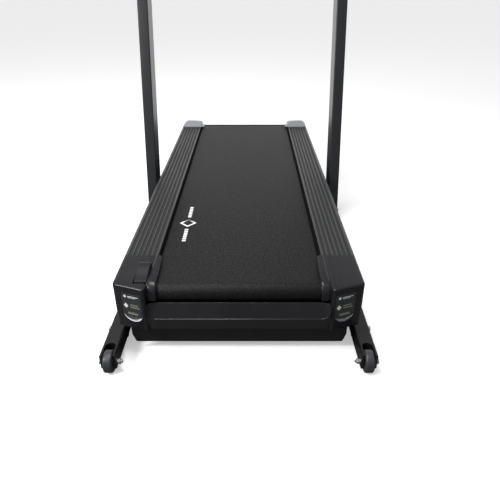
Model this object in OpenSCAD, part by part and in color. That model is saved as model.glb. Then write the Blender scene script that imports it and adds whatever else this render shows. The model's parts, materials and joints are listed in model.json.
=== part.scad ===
// Manual treadmill: floor frame with wheels, flat walking deck, two uprights with handrails
// and a small console. +Z up, walker faces +Y, origin on the floor at the middle of the footprint.
// Distances along the deck are counted forwards from the outer corner of the rear cover.

/* [Deck] */
// Width over both side rails
deck_w = 650; // [630:5:680]
// Height of the side rails above the floor
deck_z = 220; // [210:5:240]
// Width of the running belt
belt_w = 440; // [400:5:450]
// Width of one side rail
rail_w = 99; // [90:1:105]
// Where the side rails begin, ahead of the rear cover's corner
rail_y0 = 142; // [120:1:160]
// Where the side rails end
rail_y1 = 1480; // [1300:10:1500]

/* [Rollers] */
// Radius of the roller tubes
roller_r = 24.7; // [20:0.1:26]
// Thickness of the running belt
belt_t = 2; // [1:0.5:3]
// Radius of the rear axle
axle_r = 7.5; // [6:0.5:9]
// Radius of the flywheels
flywheel_r = 40; // [35:1:41]

/* [Base] */
// Width of a base beam
beam_w = 42; // [38:1:50]
// Height of a base beam
beam_h = 45; // [40:1:50]
// Distance from the middle plane to the middle of a beam
beam_x = 337.5; // [336:0.5:345]
// Radius of a transport wheel
wheel_r = 30; // [24:1:34]
// Width of a transport wheel
wheel_w = 24; // [18:1:26]

/* [Uprights and console] */
// Width of an upright, across the deck
upright_w = 40; // [30:1:50]
// Depth of an upright, along the deck
upright_d = 90; // [70:1:100]
// Forward lean of the uprights in degrees
lean = 14.2; // [8:0.1:18]
// Height of the bar that carries the console
bar_z = 1190; // [1150:5:1250]
// Height of the handrails
handrail_z = 1000; // [950:10:1050]
// Tilt of the console's face from level, in degrees
face_tilt = 50; // [35:1:60]

/* [Hidden] */

$fn = 64;
steel = "#26282b";
plastic = "#1d1e20";
bright = "#b8bcc0";
wall = 3;              // moulded walls
tube_t = 2.5;          // steel tube walls

half_w = deck_w / 2;
rail_x = half_w - rail_w;
beam_z = 15;
beam_y0 = -90;
beam_y1 = 1420;
beam_top = beam_z + beam_h;
wheel_y = -79;
wheel_z = wheel_r + 1;
wheel_bolt_r = 4;
cover_bolt_y = 32;
cover_bolt_z = beam_top - 12;
slot_w = wheel_w + 4;

belt_z = deck_z - 6;                 // top of the belt
belt_gap = 0.3;                      // roller to belt
belt_in = roller_r + belt_gap;
belt_out = belt_in + belt_t;
roller_z = belt_z - belt_out;
rear_roller_y = 18;
front_roller_y = 1525;
roller_x = belt_w / 2 + 6;           // half length of a roller
board_top = belt_z - belt_t;
board_t = 18;
cushion_h = 10;
cross_top = board_top - board_t - cushion_h;

frame_x0 = 278;
frame_w = 32;
frame_z0 = deck_z - 80;
frame_h = 60;
frame_y0 = 2;
frame_y1 = 1475;

cover_top = deck_z + 2;
cover_z = deck_z - 128;              // lower edge of the rear cover
cap_x = 237;                         // inner wall of a rear corner cap
lip_z = deck_z - 87;                 // lip between the cover's face and its slope
slope_y = -15;                       // upper edge of the slope
slope_z = deck_z - 48;
foot_in = -22;                       // lower edge of the cover's face
sweep_y = -33;                       // how far the cover reaches behind its outer corners
guard_r = belt_out + 8;

shaft_r = 8.5;
bearing_r = 17;
bearing_w = 12;
cap_r = 50;                          // dome of a front cap
cap_z = deck_z - 30;                 // middle of the dome
cap_slope = 25;                      // slope of a front cap's near face, in degrees
front_cap_y = rail_y1 + cap_r;
front_end = front_cap_y + cap_r;

pedal_x0 = 237;
pedal_w = 33;
pedal_pin_y = 12;
pedal_pin_z = deck_z - 12;
pin_r = 3;
drum_r = 13;
drum_x0 = 250;
drum_x1 = 262;

upright_x0 = beam_x + beam_w / 2;    // inner face of an upright
upright_mid = upright_x0 + upright_w / 2;
upright_top = bar_z + 25;
foot_y = 848.6;                      // middle line of an upright at floor level
handrail_r = 16;
grip_r = 20;
handrail_y0 = 740;

console_w = 380;
console_l = 170;
console_t = 36;
face_t = 8;
bar_r = 19;
button_r = 9;
knob_x = 130;
knob_r = 19;
key_y = -48;                         // row of the keys, below the middle of the face

mid_y = (front_end + wheel_y - wheel_r) / 2;

// Height z, middle line of the leaning uprights
function lean_y(z) = foot_y + z * tan(lean);

// Moves a module drawn from the rear cover's corner to the origin in the middle of the footprint
module place() translate([0, -mid_y, 0]) children();

// Draws a module for the right side (side = 1) or mirrored to the left (side = -1)
module on_side(side) mirror([side < 0 ? 1 : 0, 0, 0]) children();

// Extrudes a shape drawn in (x, z) along the deck
module along_y(y0, y1) translate([0, y0, 0]) rotate([-90, 0, 0]) linear_extrude(y1 - y0)
    mirror([0, 1]) children();

// Extrudes a shape drawn in (y, z) across the deck
module along_x(x0, x1) translate([x0, 0, 0]) rotate([90, 0, 90]) linear_extrude(x1 - x0) children();

// Round bar across the deck
module bar_x(r, x0, x1, y, z) translate([x0, y, z]) rotate([0, 90, 0]) cylinder(r = r, h = x1 - x0);

// Hexagon head across the deck
module hex_x(r, x0, x1, y, z) translate([x0, y, z]) rotate([0, 90, 0])
    cylinder(r = r, h = x1 - x0, $fn = 6);

// Rectangle with round corners about its middle
module round_rect(w, d, r) {
    square([w - 2 * r, d], center = true);
    square([w, d - 2 * r], center = true);
    for (x = [-1, 1], y = [-1, 1]) translate([x * (w / 2 - r), y * (d / 2 - r)]) circle(r);
}

// Outline between two radii about (y, z), from angle a0 to a1, under half a turn
module arc_band(y, z, r0, r1, a0, a1) translate([y, z]) intersection() {
    difference() {
        circle(r1);
        circle(r0);
    }
    polygon([[0, 0], for (i = [0:4]) let (a = a0 + (a1 - a0) * i / 4) 2 * r1 * [cos(a), sin(a)]]);
}

// ---- base ----
module base_beam(side) color(steel) place() on_side(side) difference() {
    translate([beam_x, 0, 0]) along_y(beam_y0, beam_y1)
        translate([0, beam_z + beam_h / 2]) round_rect(beam_w, beam_h, 4);
    translate([beam_x, 0, 0]) along_y(-20, beam_y1 + 1) translate([0, beam_z + beam_h / 2])
        square([beam_w - 2 * tube_t, beam_h - 2 * tube_t], center = true);
    translate([beam_x - slot_w / 2, beam_y0 - 1, 0]) cube([slot_w, 36, 2 * beam_top]);
    translate([beam_x, beam_y0 + 35, 0]) cylinder(r = slot_w / 2, h = 2 * beam_top);
    bar_x(wheel_bolt_r, beam_x - beam_w, beam_x + beam_w, wheel_y, wheel_z);
    bar_x(wheel_bolt_r, beam_x, beam_x + beam_w, cover_bolt_y, cover_bolt_z);
    for (y = upright_bolt_ys()) bar_x(5, beam_x, beam_x + beam_w, y, upright_bolt_z);
}

upright_bolt_z = beam_z + beam_h / 2;
function upright_bolt_ys() = [lean_y(upright_bolt_z) - 24, lean_y(upright_bolt_z) + 24];

// Rectangular tube across the machine, d along the deck and h high
module cross_tube(y, z, d, h, x) color(steel) place() along_x(-x, x) difference() {
    translate([y, z]) square([d, h]);
    translate([y + tube_t, z + tube_t]) square([d - 2 * tube_t, h - 2 * tube_t]);
}

base_in = beam_x - beam_w / 2;
module base_cross_rear() cross_tube(110, beam_z + 5, 40, 30, base_in);
module base_cross_middle() cross_tube(840, beam_z + 5, 40, 30, base_in);
module base_cross_front() cross_tube(1310, beam_z + 5, 40, 30, base_in);

module beam_plugs() color(plastic) place() for (s = [-1, 1]) on_side(s) {
    translate([beam_x, 0, 0]) along_y(beam_y1, beam_y1 + 5) translate([0, beam_z + beam_h / 2])
        round_rect(beam_w, beam_h, 4);
    translate([beam_x, 0, 0]) along_y(beam_y1 - 20, beam_y1) translate([0, beam_z + beam_h / 2])
        square([beam_w - 2 * tube_t, beam_h - 2 * tube_t], center = true);
}

// Rubber pads that carry the machine
module floor_pads() color(plastic) place() for (s = [-1, 1], y = [60, 1370]) on_side(s)
    translate([beam_x, y, 0]) {
        cylinder(r1 = 16, r2 = 18, h = 10);
        translate([0, 0, 10]) cylinder(r = 12, h = beam_z - 10);
    }

// Rubber wheel with round shoulders
module wheel(side) color("#141415") place() translate([side * beam_x, wheel_y, wheel_z])
    rotate([0, 90, 0]) rotate_extrude($fn = 96) {
        shoulder = 5;
        bore = wheel_bolt_r + 0.06;
        translate([bore, -wheel_w / 2]) square([wheel_r - shoulder - bore, wheel_w]);
        translate([bore, -wheel_w / 2 + shoulder])
            square([wheel_r - bore, wheel_w - 2 * shoulder]);
        for (s = [-1, 1]) translate([wheel_r - shoulder, s * (wheel_w / 2 - shoulder)])
            intersection() {
                circle(shoulder);
                translate([-shoulder, s > 0 ? -0.01 : -shoulder])
                    square([2 * shoulder, shoulder + 0.01]);
            }
    }

// Bolt into a beam's outer side, reaching x0
module beam_bolt(x0, y, z) {
    bar_x(wheel_bolt_r, x0, upright_x0, y, z);
    hex_x(7.5, upright_x0, upright_x0 + 6, y, z);
}

// The wheels' axle bolts with their nuts, and a bolt in each beam under the rear cover's corner
module beam_bolts() color(bright) place() for (s = [-1, 1]) on_side(s) {
    beam_bolt(base_in - 14, wheel_y, wheel_z);
    difference() {
        hex_x(7.5, base_in - 9, base_in, wheel_y, wheel_z);
        bar_x(wheel_bolt_r, base_in - 10, base_in + 1, wheel_y, wheel_z);
    }
    beam_bolt(beam_x, cover_bolt_y, cover_bolt_z);
}

// ---- deck frame ----
module deck_stands() color(steel) place() for (s = [-1, 1], y = [110, 1310]) on_side(s)
    translate([frame_x0, y, beam_z + 35]) difference() {
        cube([frame_w, 40, frame_z0 - beam_z - 35]);
        translate([tube_t, tube_t, -1])
            cube([frame_w - 2 * tube_t, 40 - 2 * tube_t, frame_z0]);
    }

module deck_frame(side) color(steel) place() on_side(side) difference() {
    along_y(frame_y0, frame_y1) translate([frame_x0, frame_z0]) difference() {
        square([frame_w, frame_h]);
        translate([tube_t, tube_t]) square([frame_w - 2 * tube_t, frame_h - 2 * tube_t]);
    }
    bar_x(axle_r, frame_x0 - 1, frame_x0 + frame_w + 1, rear_roller_y, roller_z);
}

cross_d = 40;
cross_ys = [210, 760, 1290];
module deck_cross_rear() cross_tube(cross_ys[0], cross_top - 19, cross_d, 19, frame_x0);
module deck_cross_middle() cross_tube(cross_ys[1], cross_top - 19, cross_d, 19, frame_x0);
module deck_cross_front() cross_tube(cross_ys[2], cross_top - 19, cross_d, 19, frame_x0);

module deck_cushions() color(plastic) place() for (x = [-1, 1] * 190, y = cross_ys)
    translate([x, y + cross_d / 2, cross_top]) cylinder(r1 = 17, r2 = 14, h = cushion_h);

// Board under the belt, with wings that carry the inner edges of the rails
module deck_board() color("#8a6d4b") place() translate([0, 0, board_top - board_t]) {
    translate([-216, 55, 0]) cube([432, 1435, board_t]);
    for (s = [-1, 1]) on_side(s) translate([216, 150, 0]) cube([frame_x0 - 218, 1290, board_t]);
}

// Outline round both rollers at a radius
module loop(r) {
    for (y = [rear_roller_y, front_roller_y]) translate([y, roller_z]) circle(r, $fn = 96);
    translate([rear_roller_y, roller_z - r]) square([front_roller_y - rear_roller_y, 2 * r]);
}

module running_belt() color("#121213") place() along_x(-belt_w / 2, belt_w / 2) difference() {
    loop(belt_out);
    loop(belt_in);
}

// ---- rear roller ----
module rear_axle() color(bright) place()
    bar_x(axle_r, -frame_x0 - 26, frame_x0 + 26, rear_roller_y, roller_z);

module rear_roller() color(bright) place() difference() {
    bar_x(roller_r, -roller_x, roller_x, rear_roller_y, roller_z);
    bar_x(roller_r - 3.7, -roller_x - 1, roller_x + 1, rear_roller_y, roller_z);
}

module rear_roller_bearings() color(bright) place() for (s = [-1, 1]) on_side(s) difference() {
    bar_x(roller_r - 3.7, roller_x - bearing_w, roller_x, rear_roller_y, roller_z);
    bar_x(axle_r + 0.05, roller_x - bearing_w - 1, roller_x + 1, rear_roller_y, roller_z);
}

// Sleeve and drum at the roller's left end, gripped by the pedal's shoe
module brake_drum() color(steel) place() on_side(-1) difference() {
    union() {
        bar_x(11, roller_x, drum_x0, rear_roller_y, roller_z);
        bar_x(drum_r, drum_x0, drum_x1, rear_roller_y, roller_z);
    }
    bar_x(axle_r + 0.5, roller_x - 1, drum_x1 + 1, rear_roller_y, roller_z);
}

module belt_tension_bolts() color(bright) place() for (s = [-1, 1]) on_side(s)
    translate([frame_x0 + frame_w / 2, 0, roller_z]) rotate([-90, 0, 0]) {
        translate([0, 0, frame_y0 - 5]) cylinder(r = 7, h = 5, $fn = 6);
        translate([0, 0, frame_y0]) cylinder(r = 4, h = rear_roller_y - axle_r - frame_y0);
    }

// ---- front roller and its brake ----
module front_bracket(side) color(steel) place() on_side(side) difference() {
    along_x(frame_x0, frame_x0 + bearing_w) {
        strip(frame_y1, frame_y1 + 85, roller_z - 30, frame_z0 + frame_h);
        strip(rail_y1 + 1, frame_y1 + 85, roller_z - 30, roller_z + 22);
    }
    bar_x(bearing_r, frame_x0 - 1, frame_x0 + bearing_w + 1, front_roller_y, roller_z);
}

module front_bearings() color(bright) place() for (s = [-1, 1]) on_side(s) difference() {
    bar_x(bearing_r, frame_x0, frame_x0 + bearing_w, front_roller_y, roller_z);
    bar_x(shaft_r + 0.05, frame_x0 - 1, frame_x0 + bearing_w + 1, front_roller_y, roller_z);
}

module front_roller() color(bright) place() {
    bar_x(roller_r, -roller_x, roller_x, front_roller_y, roller_z);
    bar_x(shaft_r, -frame_x0 - bearing_w - 3, frame_x0 + bearing_w + 3, front_roller_y, roller_z);
}

flywheel_x0 = 240;
flywheel_x1 = 266;
module flywheel(side) color(bright) place() on_side(side) difference() {
    bar_x(flywheel_r, flywheel_x0, flywheel_x1, front_roller_y, roller_z);
    bar_x(flywheel_r - 10, flywheel_x0 - 1, flywheel_x0 + 7, front_roller_y, roller_z);
    bar_x(flywheel_r - 10, flywheel_x1 - 7, flywheel_x1 + 1, front_roller_y, roller_z);
    bar_x(shaft_r, flywheel_x0 - 1, flywheel_x1 + 1, front_roller_y, roller_z);
}

magnet_y = 1462;
magnet_z = frame_z0 + 10;
module magnet_pivot() color(bright) place()
    bar_x(5, flywheel_x0 - 2, frame_x0, magnet_y, magnet_z);

// Arm with the magnets, swinging below the right flywheel
module magnet_carriage() color(bright) place() along_x(flywheel_x0 + 2, flywheel_x1 - 2)
    difference() {
        union() {
            arc_band(front_roller_y, roller_z, flywheel_r + 3, flywheel_r + 16, 215, 290);
            translate([magnet_y, magnet_z]) circle(9);
            polygon([[magnet_y, magnet_z - 9], [magnet_y + 24, magnet_z - 9],
                [magnet_y + 24, magnet_z - 2], [magnet_y, magnet_z + 9]]);
        }
        translate([magnet_y, magnet_z]) circle(5.05);
        translate([front_roller_y, roller_z]) circle(flywheel_r + 3);
    }

// ---- rails and covers ----
rib_n = 6;
rib_pitch = 14.5;
// Ribbed step with legs on the deck frame and a lip on the board
module side_rail(side) color("#3a3c40") place() on_side(side) along_y(rail_y0, rail_y1) {
    difference() {
        translate([rail_x, deck_z - 6]) square([rail_w, 6]);
        for (i = [0:rib_n - 1]) translate([rail_x + 8 + i * rib_pitch, deck_z - 1.4])
            square([rib_pitch - 5, 2]);
    }
    translate([rail_x, board_top]) square([6, deck_z - 6 - board_top]);
    for (x = [frame_x0 + 4, frame_x0 + frame_w - 8])
        translate([x, frame_z0 + frame_h]) square([4, deck_z - 6 - frame_z0 - frame_h]);
    translate([half_w - wall, deck_z - 48]) square([wall, 48]);
}

// Half outline of the rear cover from above, t inside its outer face
module cover_half(t) polygon([[0, sweep_y - 2 + t], [cap_x - 5, sweep_y - 2 + t],
    [cap_x, sweep_y + t], [half_w - 13, t - 6], [half_w - 4 - t, 2 + t / 2], [half_w - t, 14],
    [half_w - t, rail_y0 + (t > 0 ? 1 : 0)], [0, rail_y0 + (t > 0 ? 1 : 0)]]);

// Strip between two distances from the middle plane
module strip(x0, x1, y0, y1) translate([x0, y0]) square([x1 - x0, y1 - y0]);

// Section of the bent plate between the corner caps: a face that leans out, a lip, and a slope
// that rises under the roller
module cover_plate() polygon([[foot_in, cover_z], [sweep_y - 2, lip_z], [slope_y, slope_z],
    [slope_y + wall + 0.5, slope_z], [slope_y + wall + 0.5, slope_z - 1.5], [sweep_y + 1.6, lip_z],
    [foot_in + wall, cover_z]]);

// One moulding: two corner caps joined by the bent plate
module rear_cover() color(plastic) place() {
    difference() {
        for (s = [-1, 1]) on_side(s) translate([0, 0, cover_z]) linear_extrude(cover_top - cover_z)
            intersection() {
                cover_half(0);
                strip(cap_x, half_w, -60, rail_y0);
            }
        for (s = [-1, 1]) on_side(s) {
            translate([0, 0, cover_z - 1]) linear_extrude(cover_top - wall - cover_z + 1)
                intersection() {
                    cover_half(wall);
                    strip(cap_x + wall, half_w, -60, rail_y0 + 1);
                }
            bar_x(axle_r + 4.5, cap_x - 1, cap_x + wall + 1, rear_roller_y, roller_z);
            translate([cap_x - 1, 0, cover_z - 1]) cube([wall + 2, wall, 21]);
        }
        translate([-pedal_x0 - pedal_w - 2, -1, cover_top - 42])
            cube([pedal_w + 3, pedal_y1 + 5.5, 50]);
    }
    along_x(-cap_x - wall / 2, cap_x + wall / 2) cover_plate();
}

// Curved strip that hides the belt's edge and the gap beside it
module inner_guard(side) color(plastic) place() on_side(side) along_x(belt_w / 2 - 7, cap_x) {
    arc_band(rear_roller_y, roller_z, guard_r - wall, guard_r, 90, 195);
    strip(rear_roller_y, rail_y0, roller_z + guard_r - wall, roller_z + guard_r);
}

skirt_w = 584;
module rear_skirt() color(plastic) place() along_y(0, wall) polygon([[-skirt_w / 2, cover_z + 20],
    [-skirt_w / 2, cover_z - 35], [-skirt_w / 2 + 11, cover_z - 68],
    [skirt_w / 2 - 11, cover_z - 68], [skirt_w / 2, cover_z - 35], [skirt_w / 2, cover_z + 20]]);

module skirt_screws() color(bright) place() for (s = [-1, 1]) on_side(s)
    translate([skirt_w / 2 - 15, -2.5, cover_z - 8]) rotate([-90, 0, 0]) cylinder(r = 4, h = 2.5);

// Plate with a round foot on the near face of a corner cap
plate_w = 56;
plate_h = 86;
plate_r = 29;              // round foot
module side_plate(side) color("#3d4045") place() on_side(side)
    translate([(cap_x + half_w - 13) / 2, (sweep_y - 6) / 2, cover_top - 20])
        rotate([0, 0, atan2(-6 - sweep_y, half_w - 13 - cap_x)]) translate([0, -1.2, 0])
            rotate([-90, 0, 0]) linear_extrude(1.2) intersection() {
                translate([-plate_w / 2, 0]) square([plate_w, plate_h]);
                union() {
                    translate([-plate_w / 2, 0]) square([plate_w, plate_h - plate_r + 2]);
                    translate([0, plate_h - plate_r]) circle(plate_r);
                }
            }

// ---- pedal ----
pedal_y1 = 88;
pedal_rise = 15;
module pedal_pin() color(bright) place() on_side(-1)
    bar_x(pin_r, pedal_x0, frame_x0, pedal_pin_y, pedal_pin_z);

// Wedge that rises forwards to a round top edge, hinged at its near end
module lock_pedal() color(plastic) place() on_side(-1) {
    along_x(pedal_x0 + 1, pedal_x0 + pedal_w) difference() {
        union() {
            translate([pedal_pin_y, pedal_pin_z]) circle(7);
            polygon([[4, pedal_pin_z], [4, deck_z], [pedal_y1 - 9, deck_z + pedal_rise - 0.5],
                [pedal_y1 - 9, deck_z + pedal_rise - 8], [16, pedal_pin_z - 2]]);
            translate([pedal_y1 - 8, deck_z + pedal_rise - 8]) circle(8);
            strip(pedal_y1 - 6, pedal_y1, deck_z - 24, deck_z + pedal_rise - 8);
        }
        translate([pedal_pin_y, pedal_pin_z]) circle(pin_r + 0.05);
    }
    along_x(drum_x0, drum_x1) strip(34.5, 42, deck_z - 22, deck_z);
}

module brake_shoe() color(plastic) place() on_side(-1)
    along_x(drum_x0, drum_x1) strip(34.5, 42, deck_z - 34, deck_z - 22);

// ---- front covers ----
// Side view of a front cap, t inside its outer face: a near face that slopes up to a round front
module cap_outline(t) {
    translate([front_cap_y, cap_z]) circle(cap_r - t);
    polygon([[rail_y1 + t, deck_z - 102 + t], [rail_y1 + t, deck_z + 2 - 0.64 * t],
        [front_cap_y - (cap_r - t) * sin(cap_slope), cap_z + (cap_r - t) * cos(cap_slope)],
        [front_cap_y, cap_z], [front_end - t, cap_z], [front_end - t, deck_z - 102 + t]]);
}

// Back view of a front cap, t inside its outer face: low on the inside, with a slanted outer corner
module cap_section(t) polygon([[rail_x + 2 + t, deck_z - 102 + t], [rail_x + 2 + t, deck_z + 6 - t],
    [rail_x + 8 + t, deck_z + 13 - t], [half_w - 24 - t / 2, deck_z + 21 - t],
    [half_w - t, deck_z - t / 2], [half_w - t, deck_z - 102 + t]]);

// Both views of a front cap together
module cap_solid(t) intersection() {
    along_x(rail_x + 2 + t, half_w - t) cap_outline(t);
    along_y(rail_y1, front_end) cap_section(t);
}

// Housing over a flywheel, open towards the rail, with a flap over the belt's edge
module front_cap(side) color(plastic) place() on_side(side) {
    difference() {
        cap_solid(0);
        cap_solid(wall);
        along_x(rail_x + 2 + wall, half_w - wall)
            strip(rail_y1 - 1, rail_y1 + wall + 1, deck_z - 102 + wall, deck_z - 8);
        bar_x(shaft_r + 4, rail_x, rail_x + 10, front_roller_y, roller_z);
    }
    along_x(belt_w / 2 - 7, rail_x + 3) strip(rail_y1 + 1, rail_y1 + 40, deck_z - 1, deck_z + 3);
}

module front_guard() color(plastic) place() along_x(-rail_x - 2, rail_x + 2)
    arc_band(front_roller_y, roller_z, belt_out + 9, belt_out + 12, -80, 40);

// ---- uprights, handrails and console ----
module upright_solid(side, w, d, r) translate([side * upright_mid, foot_y, 0])
    rotate([-lean, 0, 0]) translate([0, 0, -60]) linear_extrude(1400) round_rect(w, d, r);

module upright(side) color(steel) place() difference() {
    intersection() {
        upright_solid(side, upright_w, upright_d, 4);
        translate([-500, 0, beam_z + 1]) cube([1000, 2000, upright_top - beam_z - 1]);
    }
    intersection() {
        upright_solid(side, upright_w - 2 * tube_t, upright_d - 2 * tube_t, 2);
        translate([-500, 0, 0]) cube([1000, 2000, upright_top - 3]);
    }
    on_side(side) for (y = upright_bolt_ys())
        bar_x(5, upright_x0 - 1, upright_x0 + upright_w + 1, y, upright_bolt_z);
}

module upright_bolts() color(bright) place() for (s = [-1, 1]) on_side(s)
    for (y = upright_bolt_ys()) {
        out = upright_x0 + upright_w;
        bar_x(5, upright_x0 - 12, out, y, upright_bolt_z);
        hex_x(9, out, out + 6, y, upright_bolt_z);
    }

module console_bar() color(steel) place() difference() {
    bar_x(bar_r, -upright_x0, upright_x0, lean_y(bar_z), bar_z);
    bar_x(bar_r - tube_t, -upright_x0 - 1, upright_x0 + 1, lean_y(bar_z), bar_z);
}

// Round tube from the upright back towards the walker, with a closed end
module handrail(side) color(steel) place() difference() {
    translate([side * upright_mid, handrail_y0, handrail_z]) rotate([-90, 0, 0])
        cylinder(r = handrail_r, h = lean_y(handrail_z) - handrail_y0);
    translate([side * upright_mid, handrail_y0 + 4, handrail_z]) rotate([-90, 0, 0])
        cylinder(r = handrail_r - tube_t, h = lean_y(handrail_z) - handrail_y0);
    upright_solid(side, upright_w, upright_d, 4);
}

module handrail_grips() color(plastic) place() for (s = [-1, 1])
    translate([s * upright_mid, handrail_y0, handrail_z]) rotate([-90, 0, 0]) difference() {
        cylinder(r = grip_r, h = 240);
        translate([0, 0, -1]) cylinder(r = handrail_r, h = 242);
    }

// Puts a shape drawn flat on the console's face to its place above the bar
face_lift = console_t + bar_r;
module on_face() translate([0, lean_y(bar_z) - sin(face_tilt) * face_lift,
    bar_z + cos(face_tilt) * face_lift]) rotate([face_tilt, 0, 0]) children();

module console_back() color(plastic) place() on_face() difference() {
    translate([0, 0, -console_t]) linear_extrude(console_t) round_rect(console_w, console_l, 28);
    translate([0, 0, wall - console_t]) linear_extrude(console_t)
        round_rect(console_w - 2 * wall, console_l - 2 * wall, 25);
}

lens_w = 170;
lens_h = 62;
lens_y = 28;
keys = [-70, -20];
module console_front() color(plastic) place() on_face() difference() {
    linear_extrude(face_t) round_rect(console_w, console_l, 28);
    translate([0, lens_y, -1]) linear_extrude(face_t + 2) round_rect(lens_w, lens_h, 6);
    for (x = keys) translate([x, key_y, -1]) cylinder(r = button_r + 0.4, h = face_t + 2);
    translate([knob_x, 0, -1]) cylinder(r = 5.05, h = face_t + 2);
}

module display_lens() color("#2b3d38") place() on_face()
    translate([0, lens_y, 2]) linear_extrude(face_t - 3) round_rect(lens_w, lens_h, 6);

module key(x) color("#55585c") place() on_face() translate([x, key_y, 0])
    cylinder(r = button_r, h = face_t + 3);
module mode_button() key(keys[0]);
module reset_button() key(keys[1]);

module resistance_knob() color("#2d2f32") place() on_face() translate([knob_x, 0, 0]) {
    translate([0, 0, face_t + 0.4]) cylinder(r1 = knob_r, r2 = knob_r - 2, h = 18);
    translate([0, 0, -6]) cylinder(r = 5, h = face_t + 7);
}

base_beam(-1);  // base_beam_left
base_beam(1);  // base_beam_right
base_cross_rear();
base_cross_middle();
base_cross_front();
beam_plugs();
floor_pads();
wheel(-1);  // wheel_left
wheel(1);  // wheel_right
beam_bolts();
deck_stands();
deck_frame(-1);  // deck_frame_left
deck_frame(1);  // deck_frame_right
deck_cross_rear();
deck_cross_middle();
deck_cross_front();
deck_cushions();
deck_board();
running_belt();
rear_axle();
rear_roller();
rear_roller_bearings();
brake_drum();
belt_tension_bolts();
front_bracket(-1);  // front_bracket_left
front_bracket(1);  // front_bracket_right
front_bearings();
front_roller();
flywheel(-1);  // flywheel_left
flywheel(1);  // flywheel_right
magnet_pivot();
magnet_carriage();
side_rail(-1);  // side_rail_left
side_rail(1);  // side_rail_right
rear_cover();
inner_guard(-1);  // inner_guard_left
inner_guard(1);  // inner_guard_right
rear_skirt();
skirt_screws();
side_plate(-1);  // side_plate_left
side_plate(1);  // side_plate_right
pedal_pin();
lock_pedal();
brake_shoe();
front_cap(-1);  // front_cap_left
front_cap(1);  // front_cap_right
front_guard();
upright(-1);  // upright_left
upright(1);  // upright_right
upright_bolts();
console_bar();
handrail(-1);  // handrail_left
handrail(1);  // handrail_right
handrail_grips();
console_back();
console_front();
display_lens();
mode_button();
reset_button();
resistance_knob();
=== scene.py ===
import json
import math

import bmesh
import bpy
import numpy as np
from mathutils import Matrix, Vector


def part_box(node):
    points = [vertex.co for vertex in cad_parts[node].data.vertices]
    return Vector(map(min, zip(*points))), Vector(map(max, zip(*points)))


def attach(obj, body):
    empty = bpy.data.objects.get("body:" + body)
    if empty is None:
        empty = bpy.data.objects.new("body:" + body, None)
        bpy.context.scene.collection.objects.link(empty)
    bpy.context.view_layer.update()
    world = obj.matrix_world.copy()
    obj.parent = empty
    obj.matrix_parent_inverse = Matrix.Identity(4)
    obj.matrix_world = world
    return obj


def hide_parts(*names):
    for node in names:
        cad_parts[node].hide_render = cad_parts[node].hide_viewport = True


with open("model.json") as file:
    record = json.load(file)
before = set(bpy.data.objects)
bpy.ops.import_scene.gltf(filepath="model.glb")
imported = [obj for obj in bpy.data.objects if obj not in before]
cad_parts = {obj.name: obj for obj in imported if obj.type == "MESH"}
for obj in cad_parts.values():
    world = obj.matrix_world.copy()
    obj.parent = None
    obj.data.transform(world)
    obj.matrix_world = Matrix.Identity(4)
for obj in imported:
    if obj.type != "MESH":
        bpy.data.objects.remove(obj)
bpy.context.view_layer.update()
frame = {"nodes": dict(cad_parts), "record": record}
mm = 0.001


# small helpers
def hexColour(text):  # sRGB hex to linear
    srgb = np.array([int(text[i:i + 2], 16) for i in (1, 3, 5)]) / 255
    linear = np.where(srgb <= 0.04045, srgb / 12.92, ((srgb + 0.055) / 1.055) ** 2.4)
    return (*linear.tolist(), 1.0)


def addNode(tree, kind, settings=None, **sockets):  # a socket gets a value, or (node, output) to link
    made = tree.nodes.new("ShaderNode" + kind)
    for key, value in (settings or {}).items():
        setattr(made, key, value)
    for key, value in sockets.items():
        socket = made.inputs[int(key[2:])] if key.startswith("in") else made.inputs[key.replace("_", " ")]
        if isinstance(value, tuple) and isinstance(value[0], bpy.types.Node):
            tree.links.new(value[0].outputs[value[1]], socket)
        else:
            socket.default_value = value
    return made


def newMaterial(name, colour, roughness, metallic=0.0, **sockets):
    material = bpy.data.materials.new(name)
    material.use_nodes = True
    shader = material.node_tree.nodes["Principled BSDF"]
    shader.inputs["Base Color"].default_value = hexColour(colour)
    shader.inputs["Roughness"].default_value = roughness
    shader.inputs["Metallic"].default_value = metallic
    for key, value in sockets.items():
        shader.inputs[key.replace("_", " ")].default_value = value
    return material, material.node_tree, shader


def ramp(tree, source, low, high, fromLow=0.3, fromHigh=0.7):  # a pattern's value spread between two numbers
    return addNode(tree, "MapRange", None, Value=source, From_Min=fromLow, From_Max=fromHigh,
                   To_Min=low, To_Max=high)


def tint(tree, source, dark, light):  # a pattern's value as a mix of two hex colours
    return addNode(tree, "Mix", {"data_type": "RGBA"}, in0=source, in6=hexColour(dark), in7=hexColour(light))


# surfaces
def gridFaces(rows, columns, closeRows, closeColumns):  # quads between neighbouring grid points
    r = np.arange(rows if closeRows else rows - 1)[:, None]
    c = np.arange(columns if closeColumns else columns - 1)[None, :]
    r2, c2 = (r + 1) % rows, (c + 1) % columns
    corners = [r * columns + c, r * columns + c2, r2 * columns + c2, r2 * columns + c]
    return np.stack(np.broadcast_arrays(*corners), -1).reshape(-1, 4).tolist()


def makePiece(name, grid, closeRows=False, closeColumns=False, caps=False, metres=None):
    rows, columns = grid.shape[:2]
    faces = gridFaces(rows, columns, closeRows, closeColumns)
    if caps:  # flat ends of a closed section
        faces.append(list(range(columns))[::-1])
        faces.append(list(range((rows - 1) * columns, rows * columns)))
    mesh = bpy.data.meshes.new(name)
    mesh.from_pydata(grid.reshape(-1, 3).tolist(), [], faces)
    piece = bpy.data.objects.new(name, mesh)
    bpy.context.scene.collection.objects.link(piece)
    if metres is not None:  # UV in metres along and across the surface
        layer = mesh.uv_layers.new(name="surfaceMetres")
        loopVertex = np.zeros(len(mesh.loops), int)
        mesh.loops.foreach_get("vertex_index", loopVertex)
        layer.data.foreach_set("uv", metres.reshape(-1, 2)[loopVertex].ravel())
    return piece


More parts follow.
